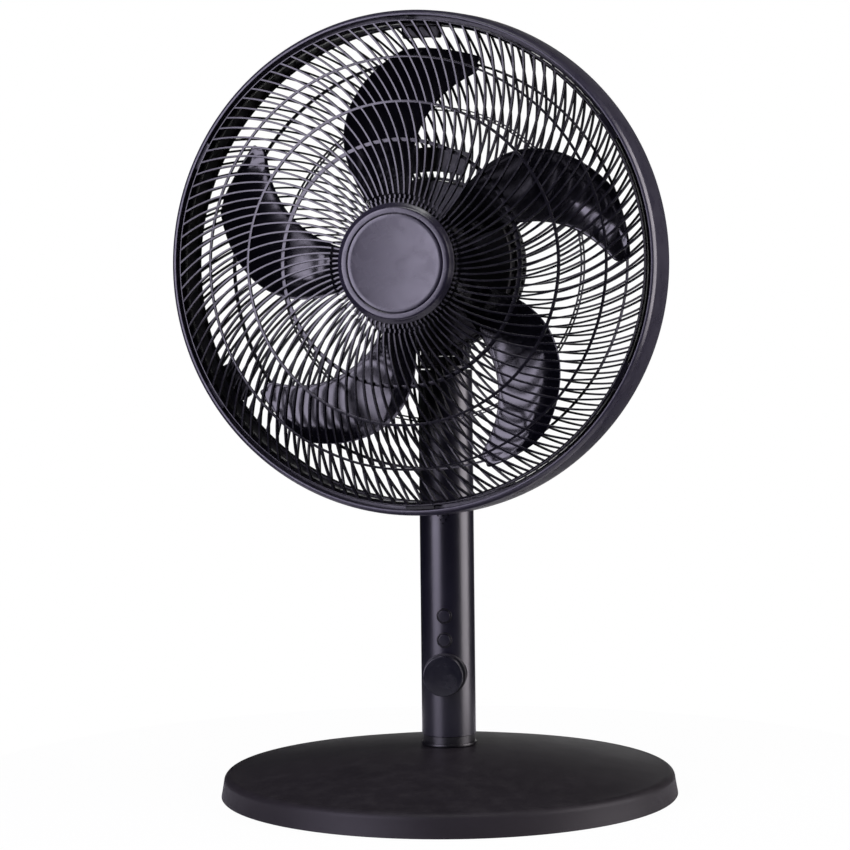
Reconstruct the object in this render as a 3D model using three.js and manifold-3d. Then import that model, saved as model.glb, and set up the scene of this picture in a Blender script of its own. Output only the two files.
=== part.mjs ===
// Air circulator fan on a round weighted base. Millimetres, +Z up, the pole's front faces -Y,
// origin on the floor under the pole. The head is built about its own axis, which runs along -Y
// from the pole axis, and is then turned by REST_YAW on the neck.
import * as THREE from 'three';
import { mergeVertices } from 'three/addons/utils/BufferGeometryUtils.js';
import Module from 'manifold-3d';

const wasm = await Module();
wasm.setup();

// ---- driving sizes ----
const GAP = 0.3;              // running and seating clearance between pieces

const BASE_R = 210.8;         // base rim radius
const BASE_EDGE_Z = 17;       // height of the base's side wall
const BASE_DRAFT = 4.6;       // how far the side wall leans in
const BASE_FILLET = 7.5;      // rounding from side wall to top
const BASE_TOP_Z = 45.2;      // top of the base at the pole
const BASE_WALL = 3;
const FOOT_H = 3;
const FOOT_R = 10;
const FOOT_INSET = 32.8;      // from the rim to the feet's centres
const FEET = 5;
const PLATE_T = 2;            // bottom plate
const WEIGHT_H = 5;
const WEIGHT_INSET = 38.8;
const RIM_Z = 1;              // the rim hangs this far off the floor

const POLE_R = 24.9;
const POLE_WALL = 2.3;
const POLE_Z0 = 50.4;
const POLE_Z1 = 391;
const SPIGOT_H = 34;          // socket inside the foot of the pole
const COLLAR_R = 25.6;
const COLLAR_H = 2.4;
const NUT_H = 7;
const NUT_R = 27;

const BUTTON_Z = [166.4, 144.3];
const BUTTON_R = 5.6;
const BUTTON_WELL_R = 7.2;
const BUTTON_TRAVEL = 1.5;
const KNOB_Z = 112.8;
const KNOB_R = 18.2;
const KNOB_H = 11.4;
const KNOB_BOSS_R = 20.6;
const KNOB_BOSS_H = 2.6;      // how far the boss stands off the front of the pole
const KNOB_STEM_R = 3;
const BOARD_W = 34;           // controls' board inside the pole
const BOARD_REACH = [22, 14]; // below the knob, above the upper button
const CARRIER_W = 26;

const HEAD_Z = 486.8;         // height of the fan axis
const REST_YAW = -8.06;       // the head's swing in the stored pose, degrees
const PIVOT_DROP = 71.8;      // tilt pivot below the fan axis
const PIVOT_R = 3.8;
const LUG_HALF = 12.4;
const LUG_R = 11.4;
const CHEEK_T = 8;
const NECK_GAP = 1.4;         // seam between pole and turning neck
const NECK_TOP_Z = 395.4;
const NECK_STEM_R = 14;

const BAND_R_FRONT = 220;     // outer band
const BAND_R_REAR = 223.5;
const BAND_FRONT = 119.4;     // distances forward of the pole axis
const BAND_REAR = 74.9;
const BAND_INNER_R = 212.4;
const BAND_WALL = 2.6;
const RIM_IN_R = 215.7;       // inner edge of the rim, outer edge of the groove
const GROOVE_D = 117.4;
const BAND_SIDES = 42;        // flats round the band

const GUARD_FIT = 1.1;        // front guard inside the band's inner wall
const GUARD_RING = 2.2;       // width of the moulded rings
const LEAN = 0.0046;          // how fast the ribs lean over with radius, rad per mm
const LEAN_R = 38;            // the radius at which they stand straight out
const FRONT_CROWN = 155.2;
const FRONT_DROP = 34.2;      // how far the guard falls back from crown to rim
const FRONT_RIB = [1.9, 4.6]; // width, depth
const FRONT_RIBS = [32, 22];  // outer field, inner field
const FRONT_RINGS = [179.3, 140, 106.9];
const FRONT_INNER_R = 46;
const FRONT_BEND_R = 82;      // where the inner ribs take one more bend
const LOW_RING = [3.6, 3.2];  // the innermost ring: how far it lies behind the ribs' face, depth
const FRONT_FLANGE = 2.6;     // extra depth of the outer ring
const TABS = 6;
const TAB_LENGTH = 26;
const TAB_PHASE = 92.5;
const REAR_FLOOR = 36;        // rear guard's depth in the middle
const REAR_POWER = 3.14;      // how late it curls up to the band
const REAR_RIB = [1.9, 4.2];
const REAR_RIBS = [22, 14];
const REAR_RINGS = [183, 141];
const REAR_COLLAR = 2.4;      // width of the ring that sits on the motor
const CLAMPS = 3;             // clamp plates of the rear guard
const CLAMP_PHASE = 90;
const CLAMP_LENGTH = 38;
const GRIP = [84, 106, 21];   // grip plate over the motor: inner and outer radius, half angle

const CAP_R = 49.6;
const CAP_FRONT = 158;
const CAP_SKIRT = 3;          // how far its side wall spreads towards the guard
const CAP_DISC_R = 42.6;
const CAP_DISC_T = 2.4;
const CAP_DISH = 1.8;

const BLADES = 5;
const BLADE_TIP_R = 187;
const BLADE_T = 2.2;
const BLADE_FRONT = 113;      // depth of the trailing edge
const BLADE_REAR = 88;        // depth of the leading edge
const BLADE_TRAIL = [128, 42, 3];   // angle at the hub, sweep to the tip, power
const BLADE_LEAD = [98, 29, 1.6];
const HUB_R = 44;
const HUB_D = [66, 118];
const HUB_WALL = 2.6;
const SHAFT_R = 4;
const SPINNER_R = 11;
const SPINNER_H = 12;

const MOTOR_R = 60;           // rear motor cover
const MOTOR_REAR = -38;
const MOTOR_LIP = 16.2;       // front end of the rear cover, inside the front one
const MOTOR_FRONT_R = 76;     // front motor cover
const MOTOR_D = [-9, 50];
const MOTOR_WALL = 2.6;
const MOTOR_SIDES = 26;       // flats round both covers
const SLOTS = 18;             // air slots in each of its two rows
const SLOT_W = 7;
const SLOT_ROWS = [[-4, 23], [30, 44]];
const NOTCH_HALF = 26;        // room for the neck under the front cover
const NOTCH_FRONT = 14.5;
const STATOR_R = 40;
const STATOR_D = [-12, 12];
const ROTOR_R = 19;
const BEARING_R = 9;
const BEARING_T = 6;

// ---- solids ----
const rad = THREE.MathUtils.degToRad;

// What still clears a round wall of radius r that is drawn with n flats.
const within = (r, n) => r * Math.cos(Math.PI / n) - GAP;

function toSolid(geometry) {
  const g = geometry.clone();
  for (const name of Object.keys(g.attributes)) if (name !== 'position') g.deleteAttribute(name);
  const m = mergeVertices(g, 1e-4);
  const p = m.attributes.position.array;
  const t = Array.from(m.index.array);
  const keep = [];
  for (let i = 0; i < t.length; i += 3) {
    const [a, b, c] = t.slice(i, i + 3);
    if (a !== b && b !== c && a !== c) keep.push(a, b, c);
  }
  const a = new THREE.Vector3(), b = new THREE.Vector3(), c = new THREE.Vector3();
  let volume = 0;
  for (let i = 0; i < keep.length; i += 3) {
    a.fromArray(p, keep[i] * 3);
    b.fromArray(p, keep[i + 1] * 3);
    c.fromArray(p, keep[i + 2] * 3);
    volume += a.dot(b.cross(c));
  }
  if (volume < 0) for (let i = 0; i < keep.length; i += 3) keep.splice(i, 2, keep[i + 1], keep[i]);
  return new wasm.Manifold(new wasm.Mesh({
    numProp: 3, vertProperties: new Float32Array(p), triVerts: new Uint32Array(keep),
  }));
}

function toGeometry(solid) {
  const m = solid.getMesh();
  const g = new THREE.BufferGeometry();
  g.setAttribute('position', new THREE.BufferAttribute(new Float32Array(m.vertProperties), 3));
  g.setIndex(new THREE.BufferAttribute(new Uint32Array(m.triVerts), 1));
  g.computeVertexNormals();
  return g;
}

const join = (first, ...rest) => rest.reduce((s, r) => s.add(r), first);
const cut = (first, ...rest) => rest.reduce((s, r) => s.subtract(r), first);

// A closed profile of [radius, height] turned about +Z.
function turnedUp(profile, segments = 40) {
  const points = profile.map(([r, z]) => new THREE.Vector2(r, z));
  if (profile[0][0] > 0 || profile.at(-1)[0] > 0) points.push(points[0].clone());
  return toSolid(new THREE.LatheGeometry(points, segments).rotateX(Math.PI / 2));
}

// The same about the head axis: [radius, distance forward].
function turnedOut(profile, segments = 40) {
  const points = profile.map(([r, d]) => new THREE.Vector2(r, d));
  if (profile[0][0] > 0 || profile.at(-1)[0] > 0) points.push(points[0].clone());
  return toSolid(new THREE.LatheGeometry(points, segments).rotateX(Math.PI));
}

function tube(outer, inner, z0, z1, segments) {
  return turnedUp([[inner, z0], [outer, z0], [outer, z1], [inner, z1]], segments);
}

function rod(r, z0, z1, segments) {
  return turnedUp([[0, z0], [r, z0], [r, z1], [0, z1]], segments);
}

// A round bar along -Y at height z, from distance d0 to d1 forward of the pole axis.
function bar(r, z, d0, d1, segments = 24, x = 0) {
  const g = new THREE.CylinderGeometry(r, r, d1 - d0, segments);
  return toSolid(g.translate(x, -(d0 + d1) / 2, z));
}

// A round bar along X at height z, reaching half to each side of x.
function crossBar(r, half, z, segments = 20, x = 0) {
  const g = new THREE.CylinderGeometry(r, r, 2 * half, segments).rotateZ(Math.PI / 2);
  return toSolid(g.translate(x, 0, z));
}

function box(x0, x1, y0, y1, z0, z1) {
  const g = new THREE.BoxGeometry(x1 - x0, y1 - y0, z1 - z0);
  return toSolid(g.translate((x0 + x1) / 2, (y0 + y1) / 2, (z0 + z1) / 2));
}

// A slab with a sector outline, for tabs and lugs round the head axis.
function sector(r0, r1, d0, d1, midDeg, halfDeg, steps = 3) {
  const shape = new THREE.Shape();
  for (let i = 0; i <= steps; i++) {
    const a = rad(midDeg - halfDeg + (2 * halfDeg * i) / steps);
    shape[i ? 'lineTo' : 'moveTo'](r1 * Math.cos(a), r1 * Math.sin(a));
  }
  for (let i = steps; i >= 0; i--) {
    const a = rad(midDeg - halfDeg + (2 * halfDeg * i) / steps);
    shape.lineTo(r0 * Math.cos(a), r0 * Math.sin(a));
  }
  const g = new THREE.ExtrudeGeometry(shape, { depth: d1 - d0, bevelEnabled: false });
  return toSolid(g.rotateX(Math.PI / 2).translate(0, -d0, 0));
}

const headPoint = (r, angle, d) => [r * Math.cos(angle), -d, r * Math.sin(angle)];

// The ribs' line: straight out near the middle, leaning over more and more towards the rim.
const lean = (r) => LEAN * (r - LEAN_R - LEAN_R * Math.log(r / LEAN_R));

// One field of a moulded guard: ribs that follow the lean, tied by rings where a row says so.
// Each row is [radius, closed, extra depth]: closed rows are solid all round up to the next radius.
function guardField(rows, ribs, [width, depth], face) {
  const edges = 2 * ribs;
  const position = [];
  for (const [r, , extra = 0] of rows) {
    for (let e = 0; e < edges; e++) {
      const mid = (2 * Math.PI * (e >> 1)) / ribs + lean(r);
      const slope = r * LEAN * (1 - LEAN_R / r);
      const half = (width / 2) * Math.hypot(1, slope) / r;
      const angle = mid + (e % 2 ? half : -half);
      position.push(...headPoint(r, angle, face(r)), ...headPoint(r, angle, face(r) - depth - extra));
    }
  }
  const index = [];
  const at = (row, e, back) => 2 * (row * edges + ((e + edges) % edges)) + back;
  const quad = (a, b, c, d) => index.push(a, b, c, a, c, d);
  const full = (row, e) => row >= 0 && row < rows.length - 1
    && (((e + edges) % edges) % 2 === 0 || rows[row][1]);
  for (let row = 0; row < rows.length; row++) {
    for (let e = 0; e < edges; e++) {
      if (full(row, e)) {
        quad(at(row, e, 0), at(row, e + 1, 0), at(row + 1, e + 1, 0), at(row + 1, e, 0));
        quad(at(row, e, 1), at(row + 1, e, 1), at(row + 1, e + 1, 1), at(row, e + 1, 1));
        if (!full(row, e - 1)) quad(at(row, e, 0), at(row + 1, e, 0), at(row + 1, e, 1), at(row, e, 1));
        if (!full(row, e + 1)) {
          quad(at(row, e + 1, 0), at(row, e + 1, 1), at(row + 1, e + 1, 1), at(row + 1, e + 1, 0));
        }
        if (!full(row - 1, e)) quad(at(row, e, 0), at(row, e, 1), at(row, e + 1, 1), at(row, e + 1, 0));
        if (!full(row + 1, e)) {
          quad(at(row + 1, e, 0), at(row + 1, e + 1, 0), at(row + 1, e + 1, 1), at(row + 1, e, 1));
        }
      }
    }
  }
  const g = new THREE.BufferGeometry();
  g.setAttribute('position', new THREE.Float32BufferAttribute(position, 3));
  g.setIndex(index);
  return toSolid(g);
}

// ---- materials ----
function paint(color, roughness, metalness = 0) {
  return new THREE.MeshStandardMaterial({ color, roughness, metalness });
}
const looks = {
  base: paint(0x232225, 0.72), pole: paint(0x26242c, 0.38), band: paint(0x2d2a37, 0.42),
  rib: paint(0x34313c, 0.45), cap: paint(0x5a5668, 0.5), blade: paint(0x0b0b10, 0.18),
  inner: paint(0x15151a, 0.5), rubber: paint(0x121212, 0.9), steel: paint(0x8a8c90, 0.35, 1),
  iron: paint(0x3b3b3d, 0.6, 0.8), copper: paint(0x8d5a33, 0.4, 0.9), board: paint(0x1d3a2a, 0.6),
};

const root = new THREE.Group();
const head = new THREE.Group();
head.position.z = HEAD_Z;
head.rotation.z = rad(REST_YAW);
const neck = new THREE.Group();
neck.rotation.z = rad(REST_YAW);
root.add(head, neck);

function piece(group, name, solid, look) {
  const mesh = new THREE.Mesh(toGeometry(solid), looks[look]);
  mesh.name = name;
  group.add(mesh);
}

// ---- base ----
// Height of the base's top skin at a radius: a shallow crown that levels off at the pole.
const topStart = BASE_R - BASE_DRAFT - BASE_FILLET;
const topEdgeZ = BASE_EDGE_Z + BASE_FILLET * 0.93;
const crownZ = (r) => topEdgeZ + (BASE_TOP_Z - topEdgeZ) * (1 - (r / topStart) ** 2) ** 1.15;
const skin = [[BASE_R, RIM_Z], [BASE_R - BASE_DRAFT, BASE_EDGE_Z]];
for (const t of [0.38, 0.72]) {
  const a = (t * Math.PI) / 2;
  skin.push([topStart + BASE_FILLET * Math.cos(a), BASE_EDGE_Z + BASE_FILLET * 0.93 * Math.sin(a)]);
}
for (const f of [1, 0.76, 0.4]) skin.push([topStart * f, crownZ(topStart * f)]);
const boreR = POLE_R - POLE_WALL - GAP - 3.5;
skin.push([boreR, BASE_TOP_Z]);
const lining = [[boreR, BASE_TOP_Z - BASE_WALL]];
for (const f of [0.36, 0.985]) lining.push([topStart * f, crownZ(topStart * f) - BASE_WALL]);
lining.push([BASE_R - BASE_DRAFT - BASE_WALL, BASE_EDGE_Z], [BASE_R - BASE_WALL, RIM_Z]);
const inletR = 4.2;
const inletZ = FOOT_H + PLATE_T + inletR + 2.4;
const inletWell = bar(inletR + GAP, inletZ, -BASE_R - 5, -BASE_R + 14, 20);
const plateZ = FOOT_H + GAP;
const plateR = BASE_R - BASE_DRAFT - BASE_WALL - GAP;
piece(root, 'base_cover', cut(turnedUp([...skin, ...lining], 40), inletWell), 'base');
piece(root, 'base_plate', rod(plateR, plateZ, plateZ + PLATE_T, 32), 'base');
const weightZ = plateZ + PLATE_T + GAP;
const weightR = BASE_R - WEIGHT_INSET;
piece(root, 'base_weight', tube(weightR, NUT_R + 12, weightZ, weightZ + WEIGHT_H, 28), 'iron');
const footRing = BASE_R - FOOT_INSET;
for (let i = 0; i < FEET; i++) {
  const a = rad(90 + (360 * i) / FEET);
  const at = [footRing * Math.cos(a), footRing * Math.sin(a), 0];
  piece(root, `foot_${i + 1}`, rod(FOOT_R, 0, FOOT_H, 12).translate(at), 'rubber');
}
piece(root, 'power_inlet', cut(
  join(
    bar(inletR, inletZ, -BASE_R + 1, -BASE_R + 10, 20),
    bar(inletR + 1.6, inletZ, -BASE_R + 9, -BASE_R + 12, 20),
  ),
  bar(inletR - 1.6, inletZ, -BASE_R - 1, -BASE_R + 9, 14),
), 'inner');

// ---- pole ----
const spigotR = POLE_R - POLE_WALL - GAP;
const socketR = boreR - GAP;
const seatZ = BASE_TOP_Z + GAP;
piece(root, 'pole_collar', turnedUp([
  [socketR - 3, weightZ], [socketR, weightZ], [socketR, seatZ], [COLLAR_R, seatZ],
  [COLLAR_R, seatZ + COLLAR_H - 0.9], [COLLAR_R - 0.9, seatZ + COLLAR_H],
  [POLE_R - 2.2, seatZ + COLLAR_H], [POLE_R - 2.2, POLE_Z0 - GAP],
  [spigotR, POLE_Z0 - GAP], [spigotR, POLE_Z0 + SPIGOT_H], [socketR - 3, POLE_Z0 + SPIGOT_H],
], 20), 'inner');
const liningR = 0.36 * topStart;
const liningFall = (BASE_TOP_Z - crownZ(liningR)) / (liningR - boreR);
const nutTop = BASE_TOP_Z - BASE_WALL - liningFall * (NUT_R - boreR) - GAP;
piece(root, 'pole_nut', cut(rod(NUT_R, nutTop - NUT_H, nutTop, 6), rod(boreR, 0, nutTop + 1, 24)), 'iron');

const wells = BUTTON_Z.map((z) => bar(BUTTON_WELL_R, z, 12, POLE_R + 5, 18));
const stemHole = bar(KNOB_STEM_R + GAP + 1, KNOB_Z, 12, POLE_R + 5, 16);
const poleTube = tube(POLE_R, POLE_R - POLE_WALL, POLE_Z0, POLE_Z1, 32);
piece(root, 'pole_tube', cut(poleTube, ...wells, stemHole), 'pole');

// Controls: a board on a carrier inside the pole, with a switch behind each button.
const boardY = -7;
const boardT = 1.6;
const boardZ = [KNOB_Z - BOARD_REACH[0], BUTTON_Z[0] + BOARD_REACH[1]];
const boardX = BOARD_W / 2;
const carrierX = CARRIER_W / 2;
const frontY = -(POLE_R - POLE_WALL - GAP);
piece(root, 'control_board', box(-boardX, boardX, boardY - boardT, boardY, ...boardZ), 'board');
piece(root, 'board_carrier', box(
  -carrierX, carrierX, boardY + GAP, boardY + 6, boardZ[0] - 4, boardZ[1] + 4,
), 'inner');
const capBack = 17.5;
BUTTON_Z.forEach((z, i) => {
  const name = i ? 'lower' : 'upper';
  const well = cut(
    join(
      bar(BUTTON_WELL_R - GAP, z, 14.8, POLE_R - 0.5, 18),
      bar(BUTTON_WELL_R + 1.4, z, 14.8, 18.4, 18),
    ),
    bar(BUTTON_R + GAP, z, 10, POLE_R + 1, 18),
  );
  piece(root, `button_well_${name}`, well, 'inner');
  const cap = turnedOut([
    [0, capBack], [BUTTON_R, capBack], [BUTTON_R, POLE_R + 0.3], [BUTTON_R - 0.7, POLE_R + 1],
    [0, POLE_R + 1.3],
  ], 18);
  piece(root, `button_${name}`, cap.translate([0, 0, z]), 'pole');
  const switchTop = capBack - BUTTON_TRAVEL - GAP;
  piece(root, `switch_${name}`, join(
    box(-3.5, 3.5, -(switchTop - 3), boardY - boardT - GAP, z - 3.5, z + 3.5),
    bar(1.8, z, switchTop - 4, switchTop, 12),
  ), 'inner');
});
const bossFront = POLE_R + KNOB_BOSS_H;
const boss = cut(
  bar(KNOB_BOSS_R, KNOB_Z, 10, bossFront, 28),
  rod(POLE_R + GAP, KNOB_Z - 40, KNOB_Z + 40, 36),
  bar(KNOB_STEM_R + GAP, KNOB_Z, 10, bossFront + 1, 16),
);
piece(root, 'knob_boss', boss, 'inner');
const knobBack = bossFront + GAP + 0.3;
const encoderFront = 17;
const knob = turnedOut([
  [0, encoderFront + GAP], [KNOB_STEM_R, encoderFront + GAP], [KNOB_STEM_R, knobBack], [KNOB_R, knobBack],
  [KNOB_R, knobBack + KNOB_H - 1.4], [KNOB_R - 1.4, knobBack + KNOB_H], [KNOB_R - 3.4, knobBack + KNOB_H],
  [KNOB_R - 4, knobBack + KNOB_H - 0.5], [0, knobBack + KNOB_H - 0.5],
], 24);
piece(root, 'knob', knob.translate([0, 0, KNOB_Z]), 'pole');
piece(root, 'knob_encoder', bar(8.5, KNOB_Z, -boardY + boardT + GAP, encoderFront, 20), 'steel');

// ---- neck: swings on the pole ----
const motorTop = POLE_Z1 - 18;
const bearingBottom = POLE_Z1 - 11;
piece(root, 'swing_motor', join(
  rod(18, motorTop - 34, motorTop - 2, 20), rod(8, motorTop - 4, motorTop, 12),
), 'steel');
piece(root, 'swing_motor_seat', join(
  tube(spigotR, 9, motorTop - 40, motorTop - 34 - GAP, 20),
  tube(spigotR, 18 + GAP, motorTop - 36, motorTop - 22, 20),
), 'inner');
piece(root, 'neck_bearing', tube(spigotR, NECK_STEM_R + GAP, bearingBottom, POLE_Z1, 20), 'inner');
const stemBottom = bearingBottom - 3;
const pivotZ = HEAD_Z - PIVOT_DROP;
const cheekX = [LUG_HALF + GAP, LUG_HALF + GAP + CHEEK_T];
const cheek = (side) => {
  const x0 = side > 0 ? cheekX[0] : -cheekX[1];
  return join(
    crossBar(LUG_R, CHEEK_T / 2, pivotZ, 20, x0 + CHEEK_T / 2),
    box(x0, x0 + CHEEK_T, -9, LUG_R, NECK_TOP_Z - 3, pivotZ),
  );
};
piece(neck, 'neck_hub', cut(
  join(
    rod(POLE_R - 0.2, POLE_Z1 + NECK_GAP, NECK_TOP_Z, 24),
    rod(NECK_STEM_R, stemBottom, NECK_TOP_Z - 1, 16), cheek(1), cheek(-1),
  ),
  crossBar(PIVOT_R + GAP, 40, pivotZ), rod(PIVOT_R, stemBottom - 1, NECK_TOP_Z - 6, 16),
), 'inner');
piece(neck, 'swing_shaft', rod(PIVOT_R - GAP, motorTop + GAP, NECK_TOP_Z - 6 - GAP, 16), 'steel');
const boltHead = (side) => crossBar(7, 1.5, pivotZ, 20, side * (cheekX[1] + GAP + 1.6));
piece(neck, 'tilt_bolt', join(
  crossBar(PIVOT_R, cheekX[1] + GAP + 0.1, pivotZ), boltHead(1), boltHead(-1),
), 'steel');

// ---- head: motor and covers ----
const lug = join(
  box(-LUG_HALF, LUG_HALF, -LUG_R, LUG_R, -PIVOT_DROP, GAP + MOTOR_WALL - MOTOR_R),
  crossBar(LUG_R, LUG_HALF, -PIVOT_DROP, 28),
);
const rearShell = turnedOut([
  [MOTOR_R, MOTOR_LIP], [MOTOR_R, MOTOR_REAR + 14], [MOTOR_R - 5, MOTOR_REAR + 4],
  [MOTOR_R - 15, MOTOR_REAR], [0, MOTOR_REAR - 2], [0, MOTOR_REAR - 2 + MOTOR_WALL],
  [MOTOR_R - 16, MOTOR_REAR + MOTOR_WALL], [MOTOR_R - MOTOR_WALL - 4, MOTOR_REAR + 7],
  [MOTOR_R - MOTOR_WALL, MOTOR_REAR + 16], [MOTOR_R - MOTOR_WALL, MOTOR_LIP],
], MOTOR_SIDES);
const pivotHole = crossBar(PIVOT_R + GAP, 2 * LUG_HALF, -PIVOT_DROP);
const vents = [];
for (let i = -2; i <= 2; i++) {
  const half = 26 - 2 * Math.abs(i);
  vents.push(box(-half, half, -MOTOR_REAR - 4, -MOTOR_REAR + 6, i * 9 - 2, i * 9 + 2));
}
piece(head, 'motor_cover_rear', cut(join(rearShell, lug), pivotHole, ...vents), 'inner');

const shaftBack = MOTOR_REAR + 5;
const nose = MOTOR_D[1];
// The front cover sits on the rear one with a flange, and has two rows of air slots round its wall.
const flangeR = (MOTOR_R + GAP) / Math.cos(Math.PI / MOTOR_SIDES);
const coverIn = MOTOR_FRONT_R - MOTOR_WALL;
const frontShell = turnedOut([
  [SHAFT_R + 2, nose - 14], [BEARING_R + 4, nose - 14], [BEARING_R + 4, nose - MOTOR_WALL],
  [coverIn, nose - MOTOR_WALL], [coverIn, MOTOR_D[0] + MOTOR_WALL], [flangeR, MOTOR_D[0] + MOTOR_WALL],
  [flangeR, MOTOR_D[0]], [MOTOR_FRONT_R, MOTOR_D[0]], [MOTOR_FRONT_R, nose - 1.6],
  [MOTOR_FRONT_R - 1.6, nose], [SHAFT_R + 2, nose],
], MOTOR_SIDES);
const slots = [];
for (const [d0, d1] of SLOT_ROWS) {
  for (let i = 0; i < SLOTS; i++) {
    const slot = box(coverIn - 6, MOTOR_FRONT_R + 3, -d1, -d0, -SLOT_W / 2, SLOT_W / 2);
    slots.push(slot.rotate([0, (360 * (i + 0.5)) / SLOTS, 0]));
  }
}
const neckNotch = box(
  -NOTCH_HALF, NOTCH_HALF, -NOTCH_FRONT, 1 - MOTOR_D[0], -MOTOR_FRONT_R - 5, 2.8 - MOTOR_R,
);
piece(head, 'motor_cover_front', cut(frontShell, ...slots, neckNotch), 'inner');
const frameR = within(MOTOR_R - MOTOR_WALL, MOTOR_SIDES);
piece(head, 'stator', turnedOut([
  [ROTOR_R + 1, STATOR_D[0]], [STATOR_R, STATOR_D[0]], [STATOR_R, STATOR_D[1]], [ROTOR_R + 1, STATOR_D[1]],
], 20), 'copper');
piece(head, 'stator_frame', turnedOut([
  [STATOR_R + 1, STATOR_D[0] - 2], [frameR, STATOR_D[0] - 2],
  [frameR, STATOR_D[0] + 4], [STATOR_R + 4, STATOR_D[0] + 4], [STATOR_R + 4, STATOR_D[1]],
  [STATOR_R + 1, STATOR_D[1]],
], 20), 'iron');

// ---- head: band and guards ----
const guardR = BAND_INNER_R - GUARD_FIT;
const frontFace = (r) => FRONT_CROWN - FRONT_DROP * (r / guardR) ** 2;
// The rear guard reaches out under the band's inner wall and ends just behind it.
const rearR = BAND_INNER_R + BAND_WALL;
const rearRise = BAND_REAR - GAP - REAR_FLOOR;
const rearFace = (r) => REAR_FLOOR + rearRise * (r / rearR) ** REAR_POWER;
const bandT = (d) => (d - BAND_REAR) / (BAND_FRONT - BAND_REAR);
const bandSlope = (d) => BAND_R_REAR + (BAND_R_FRONT - BAND_R_REAR) * bandT(d) ** 1.3;
const bandAt = (t) => BAND_REAR + (BAND_FRONT - BAND_REAR) * t;
piece(head, 'guard_band', turnedOut([
  [BAND_R_REAR, BAND_REAR], [bandSlope(bandAt(0.56)), bandAt(0.56)], [bandSlope(bandAt(0.88)), bandAt(0.88)],
  [BAND_R_FRONT - 1.4, BAND_FRONT - 1.6],
  [BAND_R_FRONT - 3.6, BAND_FRONT], [RIM_IN_R, BAND_FRONT], [RIM_IN_R, GROOVE_D], [BAND_INNER_R, GROOVE_D],
  [BAND_INNER_R, BAND_REAR], [BAND_INNER_R + BAND_WALL, BAND_REAR], [BAND_INNER_R + BAND_WALL, GROOVE_D - 4],
  [BAND_R_FRONT - 4, GROOVE_D - 4], [BAND_R_REAR - BAND_WALL, BAND_REAR],
], BAND_SIDES), 'band');

const ringRows = (r) => [[r + GUARD_RING / 2, true], [r - GUARD_RING / 2, false]];
const frontOuter = guardField([
  [guardR, true, FRONT_FLANGE], [guardR - GUARD_RING, false],
  ...ringRows(FRONT_RINGS[0]),
  [FRONT_RINGS[1] + GUARD_RING / 2, true], [FRONT_RINGS[1] - GUARD_RING / 2, false],
], FRONT_RIBS[0], FRONT_RIB, frontFace);
const inside = ([width, depth]) => [width, depth - 0.4];
const frontInner = guardField([
  [FRONT_RINGS[1], false], [FRONT_RINGS[2], false], [FRONT_BEND_R, false],
  [CAP_R + 4, true], [FRONT_INNER_R, false],
], FRONT_RIBS[1], inside(FRONT_RIB), (r) => frontFace(r) - 0.2);
const tabs = [];
const tabHalf = THREE.MathUtils.radToDeg(TAB_LENGTH / 2 / guardR);
for (let i = 0; i < TABS; i++) {
  const mid = TAB_PHASE + (360 * i) / TABS;
  tabs.push(sector(guardR - 1, within(RIM_IN_R, BAND_SIDES), GROOVE_D + GAP, BAND_FRONT, mid, tabHalf));
}
const lowR = [FRONT_RINGS[2] - GUARD_RING * 0.65, FRONT_RINGS[2] + GUARD_RING * 0.65];
const lowD = frontFace(FRONT_RINGS[2]) - LOW_RING[0];
const lowRing = turnedOut([
  [lowR[0], lowD - LOW_RING[1]], [lowR[1], lowD - LOW_RING[1]], [lowR[1], lowD], [lowR[0], lowD],
], 32);
piece(head, 'front_guard', join(frontOuter, frontInner, lowRing, ...tabs), 'rib');

const rearOuter = guardField([
  [rearR, true], [rearR - 5, false], ...ringRows(REAR_RINGS[0]),
  [REAR_RINGS[1] + GUARD_RING / 2, true], [REAR_RINGS[1] - GUARD_RING / 2, false],
], REAR_RIBS[0], REAR_RIB, rearFace);
// Its inner ring fits round the front motor cover.
const collarR = (MOTOR_FRONT_R + GAP) / Math.cos(Math.PI / REAR_RIBS[1]);
const rearInner = guardField([
  [REAR_RINGS[1], false], [collarR + REAR_COLLAR, true], [collarR, false],
], REAR_RIBS[1], inside(REAR_RIB), (r) => rearFace(r) - 0.2);
const clamps = [];
const clampHalf = THREE.MathUtils.radToDeg(CLAMP_LENGTH / 2 / rearR);
const clampR = [rearR - 14, rearR - 2];
const rimBack = rearFace(rearR - 5) - REAR_RIB[1];
const clampD = [rimBack - 3.4, rimBack + 0.6];
for (let i = 0; i < CLAMPS; i++) {
  clamps.push(sector(...clampR, ...clampD, CLAMP_PHASE + (360 * i) / CLAMPS, clampHalf));
}
const gripFace = rearFace(GRIP[1]);
const grip = sector(GRIP[0], GRIP[1], gripFace - REAR_RIB[1] + 1, gripFace + 0.5, 90, GRIP[2], 6);
piece(head, 'rear_guard', join(rearOuter, rearInner, ...clamps, grip), 'inner');

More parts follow.
